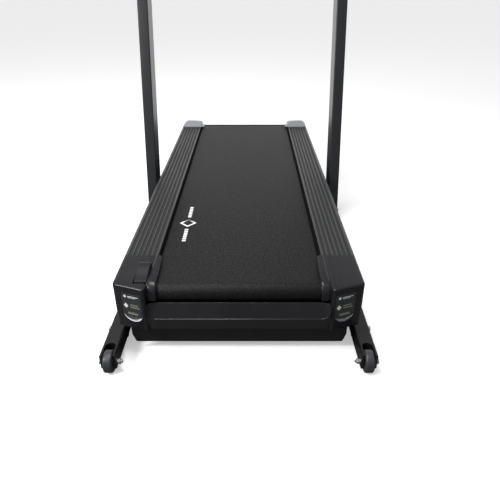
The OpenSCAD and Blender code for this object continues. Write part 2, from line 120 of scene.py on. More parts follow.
def tidyMesh(piece, angle=35, flatten=False, outward=True):  # joins doubles, faces outwards, sharp past angle
    work = bmesh.new()
    work.from_mesh(piece.data)
    bmesh.ops.remove_doubles(work, verts=work.verts, dist=0.00001)
    if flatten:
        bmesh.ops.dissolve_limit(work, angle_limit=math.radians(0.5), verts=work.verts, edges=work.edges)
    if outward:
        bmesh.ops.recalc_face_normals(work, faces=work.faces)
    work.to_mesh(piece.data)
    work.free()
    piece.data.shade_smooth()
    piece.data.set_sharp_from_angle(angle=math.radians(angle))
    return piece


def roundEdges(piece, width, segments=3, angle=30):
    bevel = piece.modifiers.new("roundedEdges", "BEVEL")
    bevel.width, bevel.segments = width, segments
    bevel.limit_method, bevel.angle_limit = "ANGLE", math.radians(angle)
    bevel.harden_normals = True
    bevel.use_clamp_overlap = True
    return piece


def dress(piece, body, slot, material, *replaced):
    piece.data.materials.clear()
    piece.data.materials.append(material)
    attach(piece, body)
    if replaced:
        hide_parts(*replaced)
    return piece


def softCopy(node, body, slot, material, width, segments=2, angle=40):  # a CAD node with rounded edges
    piece = bpy.data.objects.new(node + "Soft", frame["nodes"][node].data.copy())
    bpy.context.scene.collection.objects.link(piece)
    tidyMesh(piece, 30, flatten=True, outward=False)
    roundEdges(piece, width, segments, angle)
    return dress(piece, body, slot, material, node)


def roundPath(corners, radii, steps=6):  # corners joined by straights, each replaced by an arc of its radius
    corners = np.asarray(corners, float)
    parts = [corners[:1]]
    for before, corner, after, radius in zip(corners[:-2], corners[1:-1], corners[2:], radii):
        a, b = before - corner, after - corner
        a, b = a / np.linalg.norm(a), b / np.linalg.norm(b)
        half = math.acos(np.clip(a @ b, -1, 1)) / 2
        if radius <= 0:
            parts.append(corner[None])
            continue
        centre = corner + (a + b) / np.linalg.norm(a + b) * radius / math.sin(half)
        reach = radius / math.tan(half)
        start, end = corner + a * reach - centre, corner + b * reach - centre
        t = np.linspace(0, 1, steps + 1)[:, None]
        turn = math.acos(np.clip(start @ end / radius ** 2, -1, 1))
        arc = (np.sin((1 - t) * turn) * start + np.sin(t * turn) * end) / math.sin(turn)
        parts.append(centre + arc)
    parts.append(corners[-1:])
    return np.concatenate(parts)


def roundLoop(corners, radii, steps=6):  # the same for a closed outline
    corners = np.asarray(corners, float)
    start = (corners[-1:] + corners[:1]) / 2
    radii = np.broadcast_to(radii, len(corners))
    return roundPath(np.concatenate([start, corners, start]), radii, steps)[:-1]


def normals2d(path, closed=False):  # unit normals to the left of a path, mitred at its points
    step = np.diff(path, axis=0, append=path[:1] if closed else path[-1:])
    if not closed:
        step[-1] = step[-2]
    step /= np.maximum(np.linalg.norm(step, axis=1, keepdims=True), 1e-9)
    before = np.roll(step, 1, axis=0)
    if not closed:
        before[0] = step[0]
    mean = step + before
    mean /= np.maximum(np.linalg.norm(mean, axis=1, keepdims=True), 1e-9)
    cosHalf = np.maximum((mean * step).sum(1, keepdims=True), 0.5)
    return np.stack([-mean[:, 1], mean[:, 0]], 1) / cosHalf


def prism(name, outline, start, end, axis):  # an outline in the two other axes, carried along one axis
    low = np.insert(outline, axis, start, axis=1)
    high = np.insert(outline, axis, end, axis=1)
    return makePiece(name, np.stack([low, high]), closeColumns=True, caps=True)


def turned(name, profile, centre, steps=64):  # a closed (x, radius) profile turned about a line along x
    turn = np.linspace(0, 2 * np.pi, steps, endpoint=False)[:, None]
    x, radius = profile[None, :, 0], profile[None, :, 1]
    grid = np.stack(np.broadcast_arrays(centre[0] + x, centre[1] + radius * np.cos(turn),
                                        centre[2] + radius * np.sin(turn)), -1)
    return makePiece(name, grid, closeRows=True, closeColumns=True)


def middle(node):
    low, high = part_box(node)
    return np.array((low + high) / 2)


def settle(piece):  # the modifiers' result becomes the mesh
    result = bpy.data.meshes.new_from_object(piece.evaluated_get(bpy.context.evaluated_depsgraph_get()))
    piece.modifiers.clear()
    piece.data = result
    return piece


def thicken(piece, thickness):  # a wall inwards from a surface
    solid = piece.modifiers.new("wall", "SOLIDIFY")
    solid.thickness, solid.offset, solid.use_even_offset = thickness, -1, True
    settle(piece)
    piece.data.set_sharp_from_angle(angle=math.radians(40))
    return piece


def cutAway(piece, cutter):
    cut = piece.modifiers.new("cut", "BOOLEAN")
    cut.operation, cut.object, cut.solver = "DIFFERENCE", cutter, "EXACT"
    settle(piece)
    bpy.data.objects.remove(cutter)
    return piece


def flatShapes(name, outlines, lift, thickness, toSpace):
    # thin raised shapes: each outline is a ring of (u, v) points, and toSpace(u, v, w) places them
    verts, faces = [], []
    for outline in outlines:
        outline = np.asarray(outline, float)
        count, first = len(outline), len(verts)
        for w in (lift, lift + thickness):
            verts.extend(toSpace(outline[:, 0], outline[:, 1], w).tolist())
        low, high = first + np.arange(count), first + count + np.arange(count)
        faces.append(low[::-1].tolist())
        faces.append(high.tolist())
        faces.extend(np.stack([low, np.roll(low, -1), np.roll(high, -1), high], 1).tolist())
    mesh = bpy.data.meshes.new(name)
    mesh.from_pydata(verts, [], faces)
    piece = bpy.data.objects.new(name, mesh)
    bpy.context.scene.collection.objects.link(piece)
    return tidyMesh(piece, 30)


def bar(u0, v0, u1, v1):
    return [(u0, v0), (u1, v0), (u1, v1), (u0, v1)]


# materials
def mouldedAbs(name="mouldedAbs", colour="#18181b", light="#202023"):  # moulded ABS: satin with a fine grain
    material, tree, shader = newMaterial(name, colour, 0.3, Specular_IOR_Level=0.32)
    place = addNode(tree, "TexCoord")
    grain = addNode(tree, "TexNoise", None, Vector=(place, "Object"), Scale=1 / (1.6 * mm), Detail=3.0)
    cloud = addNode(tree, "TexNoise", None, Vector=(place, "Object"), Scale=1 / (90 * mm), Detail=3.0)
    colours = tint(tree, (cloud, 0), colour, light)
    tree.links.new(colours.outputs[2], shader.inputs["Base Color"])
    rough = ramp(tree, (cloud, 0), 0.25, 0.33)
    tree.links.new(rough.outputs[0], shader.inputs["Roughness"])
    bump = addNode(tree, "Bump", None, Height=(grain, 0), Strength=0.12, Distance=0.3 * mm)
    tree.links.new(bump.outputs[0], shader.inputs["Normal"])
    return material


def powderCoat(name, colour, light, roughness=0.38):  # polyester powder coat: slight orange peel, satin
    material, tree, shader = newMaterial(name, colour, roughness)
    place = addNode(tree, "TexCoord")
    peel = addNode(tree, "TexNoise", None, Vector=(place, "Object"), Scale=1 / (3 * mm), Detail=2.0)
    cloud = addNode(tree, "TexNoise", None, Vector=(place, "Object"), Scale=1 / (120 * mm), Detail=4.0)
    colours = tint(tree, (cloud, 0), colour, light)
    tree.links.new(colours.outputs[2], shader.inputs["Base Color"])
    rough = ramp(tree, (peel, 0), roughness - 0.05, roughness + 0.06)
    tree.links.new(rough.outputs[0], shader.inputs["Roughness"])
    bump = addNode(tree, "Bump", None, Height=(peel, 0), Strength=0.15, Distance=0.2 * mm)
    tree.links.new(bump.outputs[0], shader.inputs["Normal"])
    return material


beltLook = dict(colour="#050506", light="#19191a", grain=5 * mm, blotch=17 * mm, height=1.6 * mm)


def embossedPvc():  # PVC belt cover with a leathery emboss: matt black, its crests glint
    material, tree, shader = newMaterial("embossedPvc", beltLook["colour"], 0.5, Specular_IOR_Level=0.22)
    place = addNode(tree, "UVMap", {"uv_map": "surfaceMetres"})
    grain = addNode(tree, "TexNoise", None, Vector=(place, 0), Scale=1 / beltLook["grain"], Detail=2.0,
                    Roughness=0.6)
    blotch = addNode(tree, "TexNoise", None, Vector=(place, 0), Scale=1 / beltLook["blotch"], Detail=3.0)
    height = addNode(tree, "Math", {"operation": "MULTIPLY_ADD"}, in0=(blotch, 0), in1=0.3, in2=(grain, 0))
    spread = ramp(tree, (height, 0), 0.0, 1.0, 0.48, 0.82)
    colours = tint(tree, (spread, 0), beltLook["colour"], beltLook["light"])
    tree.links.new(colours.outputs[2], shader.inputs["Base Color"])
    rough = ramp(tree, (grain, 0), 0.66, 0.4)
    tree.links.new(rough.outputs[0], shader.inputs["Roughness"])
    bump = addNode(tree, "Bump", None, Height=(height, 0), Strength=1.0, Distance=beltLook["height"])
    tree.links.new(bump.outputs[0], shader.inputs["Normal"])
    return material


# groove: painted shade colour for the rail's grooves; crest: the rail's own dark grey
railLook = dict(groove="#0c0d0e", crest="#2a2b2e", hatch=3.2 * mm, deep=1.7 * mm, high=0.3 * mm)


def hatchedPvc():  # extruded PVC rail, knurled: painted shade darkens the grooves, which are also dull; crests dark grey and rubbed smoother
    material, tree, shader = newMaterial("hatchedPvc", railLook["crest"], 0.4, Specular_IOR_Level=0.6)
    place = addNode(tree, "TexCoord")
    split = addNode(tree, "SeparateXYZ", None, Vector=(place, "Object"))
    turns = 2 * math.pi / railLook["hatch"]
    lines = []
    for sign in (1.0, -1.0):  # sin(turns * (y + x)) and sin(turns * (y - x))
        along = addNode(tree, "Math", {"operation": "MULTIPLY_ADD"}, in0=(split, 0), in1=sign, in2=(split, 1))
        phase = addNode(tree, "Math", {"operation": "MULTIPLY"}, in0=(along, 0), in1=turns)
        lines.append(addNode(tree, "Math", {"operation": "SINE"}, in0=(phase, 0)))
    hatch = addNode(tree, "Math", {"operation": "MULTIPLY"}, in0=(lines[0], 0), in1=(lines[1], 0))
    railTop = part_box("side_rail_right")[1].z
    crest = ramp(tree, (split, 2), 0.0, 1.0, railTop - railLook["deep"], railTop - railLook["high"])
    # painted shade: the colour darkens towards the bottom of each groove
    colours = tint(tree, (crest, 0), railLook["groove"], railLook["crest"])
    tree.links.new(colours.outputs[2], shader.inputs["Base Color"])
    rough = ramp(tree, (crest, 0), 0.6, 0.33, 0.0, 1.0)
    tree.links.new(rough.outputs[0], shader.inputs["Roughness"])
    bump = addNode(tree, "Bump", None, Height=(hatch, 0), Strength=0.4, Distance=0.25 * mm)
    tree.links.new(bump.outputs[0], shader.inputs["Normal"])
    return material


# One noise gives the tone, the gloss and the grain
def speckled(name, colour, light, roughness, grain, strength, metallic=0.0, **sockets):
    material, tree, shader = newMaterial(name, colour, roughness, metallic, **sockets)
    place = addNode(tree, "TexCoord")
    noise = addNode(tree, "TexNoise", None, Vector=(place, "Object"), Scale=1 / grain, Detail=4.0)
    colours = tint(tree, (noise, 0), colour, light)
    tree.links.new(colours.outputs[2], shader.inputs["Base Color"])
    rough = ramp(tree, (noise, 0), roughness * 0.85, min(roughness * 1.2, 1.0))
    tree.links.new(rough.outputs[0], shader.inputs["Roughness"])
    bump = addNode(tree, "Bump", None, Height=(noise, 0), Strength=strength, Distance=0.3 * mm)
    tree.links.new(bump.outputs[0], shader.inputs["Normal"])
    return material


def turnedSteel(name, colour, light, roughness):  # lathe-turned steel: fine bright rings round the bar
    material, tree, shader = newMaterial(name, colour, roughness, 1.0)
    place = addNode(tree, "TexCoord")
    squeeze = addNode(tree, "Mapping", None, Vector=(place, "Object"), Scale=(1.0, 0.02, 0.02))
    rings = addNode(tree, "TexNoise", None, Vector=(squeeze, 0), Scale=1 / (0.8 * mm), Detail=2.0)
    colours = tint(tree, (rings, 0), colour, light)
    tree.links.new(colours.outputs[2], shader.inputs["Base Color"])
    rough = ramp(tree, (rings, 0), roughness - 0.06, roughness + 0.08)
    tree.links.new(rough.outputs[0], shader.inputs["Roughness"])
    bump = addNode(tree, "Bump", None, Height=(rings, 0), Strength=0.1, Distance=0.1 * mm)
    tree.links.new(bump.outputs[0], shader.inputs["Normal"])
    return material


look = dict(
    cover=mouldedAbs(),
    frame=powderCoat("blackPowderCoat", "#0d0d0e", "#121314"),
    upright=powderCoat("anthracitePowderCoat", "#1c1e21", "#24272b"),
    belt=embossedPvc(),
    rail=hatchedPvc(),
    tyre=speckled("mouldedRubber", "#2c2d30", "#3a3b3f", 0.42, 6 * mm, 0.15),
    foot=speckled("plainRubber", "#161617", "#1f1f20", 0.7, 3 * mm, 0.25),
    zinc=speckled("zincPlate", "#9a9da1", "#b9bcc0", 0.32, 5 * mm, 0.05, 1.0),
    roller=turnedSteel("turnedSteel", "#8d9094", "#b4b6b9", 0.3),
    oxide=speckled("blackOxide", "#2a2b2e", "#3d3f43", 0.35, 4 * mm, 0.08, 0.6),
    board=speckled("phenolicFacedBoard", "#060606", "#0b0b0b", 0.8, 2 * mm, 0.1, Specular_IOR_Level=0.08),
    plate=speckled("printedPlate", "#2a2d30", "#34373b", 0.35, 20 * mm, 0.03),
    # painted highlight for the corner plates' feet
    rim=speckled("brightTrim", "#d6d8da", "#f0f1f2", 0.3, 8 * mm, 0.03),
    print=speckled("screenInk", "#e9e9e6", "#ffffff", 0.5, 3 * mm, 0.1),
    printGrey=speckled("greyInk", "#777b6e", "#8b8f82", 0.5, 3 * mm, 0.1),
    endCap=speckled("satinGreyAbs", "#8a8c90", "#9c9ea2", 0.4, 4 * mm, 0.1),
    foam=speckled("nitrileFoam", "#1a1a1b", "#242425", 0.85, 1.2 * mm, 0.6),
    console=mouldedAbs("consoleAbs", "#1e1f22", "#27282b"),
    window=speckled("smokedWindow", "#0f1412", "#151b19", 0.12, 30 * mm, 0.01),
    key=speckled("siliconeKey", "#5a5d61", "#6b6e72", 0.5, 2 * mm, 0.15),
)
print("materials made")


coverLow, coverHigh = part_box("rear_cover")
zeroY = coverLow.y + 35 * mm  # the cover's outer corners, from which distances along the deck are counted

# running belt
beltShape = dict(arcSteps=40, edge=0.7 * mm, thick=2 * mm)


def runningBelt():  # a rounded strip carried round both rollers; UV is (distance along, distance across)
    low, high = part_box("running_belt")
    outer = (high.z - low.z) / 2
    centreZ = (high.z + low.z) / 2
    thick = beltShape["thick"]
    half = np.linspace(-np.pi / 2, np.pi / 2, beltShape["arcSteps"] + 1)
    frontArc = np.stack([high.y - outer + outer * np.cos(half), centreZ + outer * np.sin(half)], 1)
    rearArc = np.stack([low.y + outer - outer * np.cos(half), centreZ - outer * np.sin(half)], 1)
    loop = np.concatenate([frontArc, rearArc])
    outward = np.stack([np.cos(half), np.sin(half)], 1)
    inward = np.concatenate([-outward, outward])
    section = roundLoop([[low.x, 0], [high.x, 0], [high.x, thick], [low.x, thick]], beltShape["edge"], 3)
    yz = loop[:, None] + inward[:, None] * section[None, :, 1:2]
    grid = np.concatenate([np.broadcast_to(section[None, :, :1], yz.shape[:2] + (1,)), yz], 2)
    seam = np.concatenate([grid, grid[:1]])
    along = np.concatenate([[0], np.cumsum(np.linalg.norm(np.diff(seam[:, 0], axis=0), axis=1))])
    metres = np.stack(np.broadcast_arrays(along[:, None], section[None, :, 0]), -1)
    piece = makePiece("runningBelt", seam, closeColumns=True, metres=metres)
    tidyMesh(piece, 60)
    return dress(piece, "machine", "belt_rubber", look["belt"], "running_belt")


runningBelt()

markShape = dict(x=-170 * mm, y=360 * mm, size=27 * mm, rim=8 * mm, dashes=7, step=12 * mm, start=42 * mm,
                 dash=(8 * mm, 11 * mm), lift=0.05 * mm, thick=0.15 * mm)


def beltMark():  # a plain diamond ring with a row of dashes on each side, along the belt
    m = markShape
    big, small = m["size"], m["size"] - m["rim"]
    corners = [(1, 0), (0, 1), (-1, 0), (0, -1)]
    sides = zip(corners, corners[1:] + corners[:1])
    outlines = [[(a[0] * big, a[1] * big), (b[0] * big, b[1] * big), (b[0] * small, b[1] * small),
                 (a[0] * small, a[1] * small)] for a, b in sides]
    half = m["dash"][1] / 2
    for way in (1, -1):
        for i in range(m["dashes"]):
            start = way * (m["start"] + i * m["step"])
            end = start + way * m["dash"][0]
            outlines.append(bar(-half, min(start, end), half, max(start, end)))
    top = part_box("running_belt")[1].z

    def place(u, v, w):  # u across the belt, v along it, w above it
        return np.stack([m["x"] + u, zeroY + m["y"] + v, np.full(len(u), top + w)], 1)

    piece = flatShapes("beltMark", outlines, m["lift"], m["thick"], place)
    return dress(piece, "machine", "label_plate", look["print"])


beltMark()
print("belt made")


# side rails
railShape = dict(ribs=6, margin=8 * mm, depth=2 * mm, shoulder=1.2 * mm, crest=1.6 * mm, corner=4 * mm,
                 ease=1 * mm, wall=3 * mm, plate=6 * mm, foot=6 * mm, footDrop=2 * mm, shadeStrip=4 * mm,
                 endGap=1 * mm)


def sideRail(side):  # a ribbed top, z = top - depth * (smooth steps across x), and a turned-down outer edge
    s = railShape
    low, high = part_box("side_rail_right")
    width, top = high.x - low.x, high.z
    x = np.linspace(0, width - s["corner"], 200)
    pitch = (width - 2 * s["margin"]) / s["ribs"]
    away = np.abs(((x - s["margin"]) / pitch) % 1 - 0.5) * pitch
    groove = np.clip((pitch / 2 - s["crest"] - away) / s["shoulder"], 0, 1)
    border = np.minimum(x, width - x) - s["margin"]
    inside = np.clip(border / s["shoulder"], 0, 1)
    smooth = groove * groove * (3 - 2 * groove) * inside
    topLine = np.stack([x, top - s["depth"] * smooth], 1)
    topLine[0, 1] -= s["ease"]
    turn = np.linspace(np.pi / 2, 0, 8)[1:]
    corner = s["corner"]
    arc = np.stack([width - corner + corner * np.cos(turn), top - corner + corner * np.sin(turn)], 1)
    under = top - s["plate"]
    foot = under - s["footDrop"]
    rest = np.array([[width, low.z], [width - s["wall"], low.z], [width - s["wall"], under],
                     [s["foot"], under], [s["foot"], foot], [0, foot]])
    outline = np.concatenate([topLine, arc, rest])
    outline[:, 0] = (low.x + outline[:, 0]) * side
    name = "sideRail" + ("Right" if side > 0 else "Left")
    piece = prism(name, outline, low.y, high.y - s["endGap"], 1)
    tidyMesh(piece, 30)
    node = "side_rail_right" if side > 0 else "side_rail_left"
    dress(piece, "machine", "rail_profile", look["rail"], node)
    piece.data.materials.append(look["board"])  # near-black strip beside the belt: painted shadow of the gap there
    # painted shadow: the faces nearest the belt take the near-black board finish
    centres = np.zeros(len(piece.data.polygons) * 3)
    piece.data.polygons.foreach_get("center", centres)
    shadeStrip = np.abs(centres[::3]) < low.x + s["shadeStrip"]
    piece.data.polygons.foreach_set("material_index", shadeStrip.astype(np.int32))
    return piece


for side in (1, -1):
    sideRail(side)
print("rails made")


# rear cover
coverShape = dict(corner=15 * mm, inner=7 * mm, topRound=6.5 * mm, wall=2.6 * mm, capInner=237 * mm,
                  sweepOut=-1.3 * mm, sweepIn=-33 * mm, fillet=24 * mm,
                  footIn=-22 * mm, lipY=-35 * mm, lipZ=133 * mm, slopeY=-15 * mm, slopeZ=172 * mm,
                  tailY=-10.5 * mm, tailZ=152 * mm, tailEnd=60 * mm, ledge=2.2 * mm, seamY=30 * mm,
                  curved=34 * mm)


def capShell(side):  # wall, rounded brow and flat top, carried round the cap's outline to its middle line
    c = coverShape
    outer = coverHigh.x
    corners = [[outer, coverHigh.y], [outer, zeroY + c["sweepOut"]],
               [c["capInner"], zeroY + c["sweepIn"]], [c["capInner"], coverHigh.y]]
    path = roundPath(corners, [c["corner"], c["inner"]], 10)
    ahead = np.linspace(coverHigh.y, zeroY + c["seamY"], 4)  # the same on both sides, so the seam closes
    path = np.concatenate([np.stack([np.full(4, outer), ahead], 1), path[1:-1],
                           np.stack([np.full(4, c["capInner"]), ahead[::-1]], 1)])
    into = -normals2d(path)
    turn = np.linspace(0, np.pi / 2, 7)
    r = c["topRound"]
    inset = np.concatenate([[0, 0, 0], r * (1 - np.cos(turn))])
    brow = coverHigh.z - r + r * np.sin(turn)
    height = np.concatenate([[coverLow.z, coverLow.z + 40 * mm, coverHigh.z - 30 * mm], brow])
    wall = path[:, None] + into[:, None] * inset[None, :, None]
    line = np.stack([np.full(len(path), (outer + c["capInner"]) / 2),
                     np.clip(path[:, 1], zeroY + c["seamY"], coverHigh.y)], 1)
    t = np.linspace(0, 1, 5)[1:, None]
    top = wall[:, -1][:, None] * (1 - t) + line[:, None] * t
    flat = np.concatenate([wall, top], 1)
    z = np.concatenate([height, np.full(4, coverHigh.z)])
    grid = np.concatenate([flat, np.broadcast_to(z[None, :, None], flat.shape[:2] + (1,))], 2)
    grid[..., 0] *= side
    if side < 0:
        grid = grid[::-1]
    piece = makePiece("cornerCap" + ("Right" if side > 0 else "Left"), grid)
    tidyMesh(piece, 40)
    return piece


def coverBand():
    # Face, lip, slope and a tail under the roller: one section carried across between the caps. Towards each
    # cap a quarter circle, bend = 1 - sqrt(1 - t * t), lifts the lip and brings the slope out to the cap.
    c = coverShape
    half = c["capInner"] + 1.5 * mm
    straight = half - c["curved"]
    ends = np.linspace(0, c["curved"], 26)[:-1]
    x = np.concatenate([-half + ends, np.linspace(-straight, straight, 12), half - ends[::-1]])
    t = np.clip((np.abs(x) - (c["capInner"] - c["fillet"])) / c["fillet"], 0, 0.985)
    bend = 1 - np.sqrt(1 - t ** 2)
    corners = [[c["footIn"], coverLow.z], [c["lipY"], c["lipZ"]],
               [c["lipY"] + c["ledge"], c["lipZ"] + 0.8 * mm], [c["slopeY"], c["slopeZ"]],
               [c["tailY"], c["slopeZ"] - 1 * mm], [c["tailY"], c["tailZ"]], [c["tailEnd"], c["tailZ"]]]
    section = roundPath(corners, [1.2 * mm, 1 * mm, 1.2 * mm, 1.2 * mm, 2 * mm], 8)
    follow = np.clip((section[:, 1] - coverLow.z) / (c["lipZ"] - coverLow.z), 0, 1) ** 3
    past = np.clip((section[:, 0] - c["lipY"]) / (c["slopeY"] - c["lipY"]), 0, 1)
    past[:np.argmin(section[:, 0])] = 0
    out = past * (c["slopeY"] - c["sweepIn"])
    y = zeroY + section[None, :, 0] - out[None] * bend[:, None]
    z = section[None, :, 1] + (follow * (1 - past))[None] * c["fillet"] * bend[:, None]
    grid = np.stack([np.broadcast_to(x[:, None], y.shape), y, z], -1)
    piece = makePiece("coverBand", grid[::-1])
    tidyMesh(piece, 40, outward=False)
    return piece


pedalGap = dict(x0=-272 * mm, x1=-230 * mm, y0=-1 * mm, y1=92.5 * mm, corner=2 * mm, deep=42 * mm)
for side in (1, -1):
    cap = thicken(capShell(side), coverShape["wall"])
    if side < 0:  # the pedal's opening, through the top and the inner wall
        g = pedalGap
        gap = roundLoop(bar(g["x0"], zeroY + g["y0"], g["x1"], zeroY + g["y1"]), g["corner"], 4)
        cutter = prism("pedalCutter", gap, coverHigh.z - g["deep"], coverHigh.z + 10 * mm, 2)
        cutAway(cap, tidyMesh(cutter))
        cap.data.set_sharp_from_angle(angle=math.radians(40))
    dress(cap, "machine", "cover_plastic", look["cover"])
band = coverBand()
thicken(band, coverShape["wall"])
dress(band, "machine", "cover_plastic", look["cover"], "rear_cover")

trayShape = dict(x0=-277 * mm, x1=-237.5 * mm, y0=5 * mm, y1=140 * mm, z=168 * mm, thick=1.2 * mm)


def pedalTray():  # a flat floor inside the left cap, below the pedal
    t = trayShape
    outline = np.array(bar(t["x0"], zeroY + t["y0"], t["x1"], zeroY + t["y1"]))
    tray = tidyMesh(prism("pedalTray", outline, t["z"], t["z"] + t["thick"], 2))
    return dress(tray, "machine", "cover_plastic", look["cover"])


pedalTray()
print("rear cover made")


# inner guards
guardShape = dict(gap=1.4 * mm, thick=3 * mm, crown=1.4 * mm, narrow=5 * mm, corner=9 * mm, endAngle=15,
                  flange=1.9 * mm, radius=35 * mm, taper=36 * mm)


def innerGuard(side):
    # A crowned strip along the deck, then round the roller on an arc. Its inner edge moves outwards towards
    # the front, and its inner front corner is rounded by taking width away on a quarter circle.
    s = guardShape
    low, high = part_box("inner_guard_right")
    radius = s["radius"]
    centreY, centreZ = low.y + radius, high.z - radius
    turn = np.linspace(np.pi / 2, np.pi + math.radians(s["endAngle"]), 28)
    arc = np.stack([centreY + radius * np.cos(turn), centreZ + radius * np.sin(turn)], 1)
    ahead = high.y - s["corner"] * (1 - np.cos(np.linspace(0, np.pi / 2, 7)))
    along = np.concatenate([ahead, np.linspace(ahead[-1], centreY, 5)[1:-1]])
    path = np.concatenate([np.stack([along, np.full(len(along), high.z)], 1), arc])
    into = normals2d(path)
    taperFrom = centreY + s["taper"]
    along = np.clip((path[:, 0] - taperFrom) / (high.y - taperFrom), 0, 1)
    short = np.clip((path[:, 0] - (high.y - s["corner"])) / s["corner"], 0, 1)
    inner = low.x + s["narrow"] * along + s["corner"] * (1 - np.sqrt(1 - short ** 2))
    outer = np.full(len(path), high.x - s["gap"])
    across = np.linspace(0, 1, 11)
    drop = s["crown"] * np.abs(2 * across - 1) ** 5
    level = np.concatenate([drop, [s["flange"], s["flange"], s["thick"]], np.full(11, s["thick"])])
    share = np.concatenate([across, [1, 1, 1], across[::-1]])
    reach = np.concatenate([np.zeros(12), [s["gap"], s["gap"]], np.zeros(11)])  # a flange in the shadow gap
    x = inner[:, None] + (outer - inner)[:, None] * share[None] + reach[None]
    yz = path[:, None] + into[:, None] * level[None, :, None]
    grid = np.concatenate([x[..., None] * side, yz], 2)
    piece = makePiece("innerGuard" + ("Right" if side > 0 else "Left"), grid, closeColumns=True, caps=True)
    tidyMesh(piece, 60)
    node = "inner_guard_right" if side > 0 else "inner_guard_left"
    return dress(piece, "machine", "cover_plastic", look["cover"], node)


for side in (1, -1):
    innerGuard(side)


# skirt
skirtShape = dict(knee=33 * mm, slant=11 * mm, thick=2.5 * mm)


def rearSkirt():  # a flat plate whose lower edge turns under, narrower below its slanted corners
    low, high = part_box("rear_skirt")
    knee = low.z + skirtShape["knee"]
    z = np.array([high.z, high.z - 30 * mm, knee, low.z + 16 * mm, low.z + 8 * mm, low.z + 3 * mm, low.z])
    half = np.interp(z, [low.z, knee, high.z], [high.x - skirtShape["slant"], high.x, high.x])
    under = np.array([0, 0, 0, 0, 1, 4, 9]) * mm
    u = np.linspace(-1, 1, 9)
    grid = np.stack(np.broadcast_arrays(u[:, None] * half[None], low.y + under[None] + 0 * u[:, None],
                                        z[None] + 0 * u[:, None]), -1)
    piece = makePiece("rearSkirt", grid)
    tidyMesh(piece, 60, outward=False)
    thicken(piece, skirtShape["thick"])
    return dress(piece, "machine", "cover_plastic", look["cover"], "rear_skirt")


rearSkirt()

# foot pedal
pedalShape = dict(near=6 * mm, flat=0.6 * mm, crest=13 * mm, round=8 * mm, edge=1.6 * mm, foot=14 * mm,
                  wall=4 * mm)


def footPedal():
    # Side outline carried across. Its top rises on a smooth step, z = flat + (crest - flat) * step(t) with
    # step(t) = t^2.2 * (3.1 - 2.1 * t^0.9), turns over at the front on a quarter circle and drops behind it.
    p = pedalShape
    low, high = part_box("lock_pedal")
    crestY = high.y - p["round"]
    t = np.linspace(0, 1, 24)
    step = t ** 2.2 * (3.1 - 2.1 * t ** 0.9)
    rise = np.stack([low.y + p["near"] + t * (crestY - low.y - p["near"]),
                     coverHigh.z + p["flat"] + (p["crest"] - p["flat"]) * step], 1)
    top = rise[-1, 1]
    turn = np.linspace(np.pi / 2, 0, 8)[1:]
    nose = np.stack([crestY + p["round"] * np.cos(turn), top - p["round"] + p["round"] * np.sin(turn)], 1)
    under = np.array([[high.y, coverHigh.z - p["foot"]], [high.y - p["wall"], coverHigh.z - p["foot"]],
                      [high.y - p["wall"], coverHigh.z - 3 * mm], [low.y + 8 * mm, coverHigh.z - 8 * mm],
                      [low.y + 3 * mm, coverHigh.z - 4 * mm]])
    piece = prism("footPedal", np.concatenate([rise, nose, under]), low.x, high.x, 0)
    tidyMesh(piece, 30)
    roundEdges(piece, p["edge"], 3, 50)
    return dress(piece, "pedal", "cover_plastic", look["cover"], "lock_pedal")


footPedal()
print("pedal made")

# plates on the corner caps
plateShape = dict(turn=math.atan2(27, 75), thick=1.0 * mm, half=28 * mm, foot=29 * mm, middleX=274.5 * mm,
                  middleY=-19.5 * mm, rim=4.4 * mm, rimSpan=66, rimThick=0.5 * mm, ink=0.12 * mm,
                  sunk=0.2 * mm)


